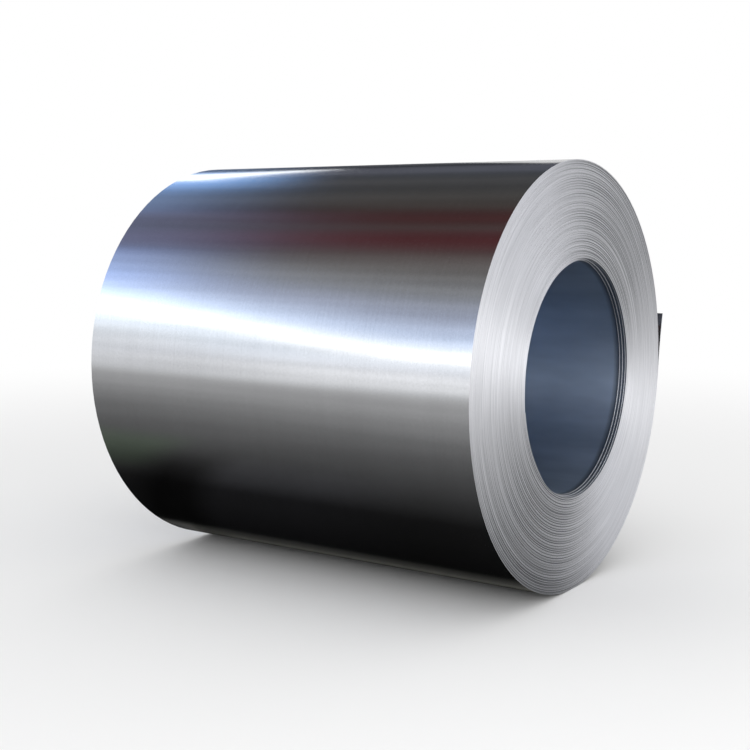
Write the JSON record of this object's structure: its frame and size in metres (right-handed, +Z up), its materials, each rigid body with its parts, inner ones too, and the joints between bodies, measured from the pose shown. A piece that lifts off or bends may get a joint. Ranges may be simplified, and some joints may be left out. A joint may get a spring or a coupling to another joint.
{
  "type": "steel coil",
  "caption": "Coil of cold rolled steel strip wound round an open bore, lying on its side, with the free tail of its outer turn sprung off and its innermost turns pushed in at one end.",
  "frame": {"origin": "on the axis of the bore, halfway along the width of the strip's outer turn", "axes": "+X along the bore, out of the end whose innermost turns are pushed in; +Z up"},
  "size_m": [1.017, 0.9605, 0.9379],
  "materials": {
    "cold_rolled_steel": "satin"
  },
  "bodies": {
    "root": {"steel_coil": "cold_rolled_steel"}
  },
  "joints": []
}
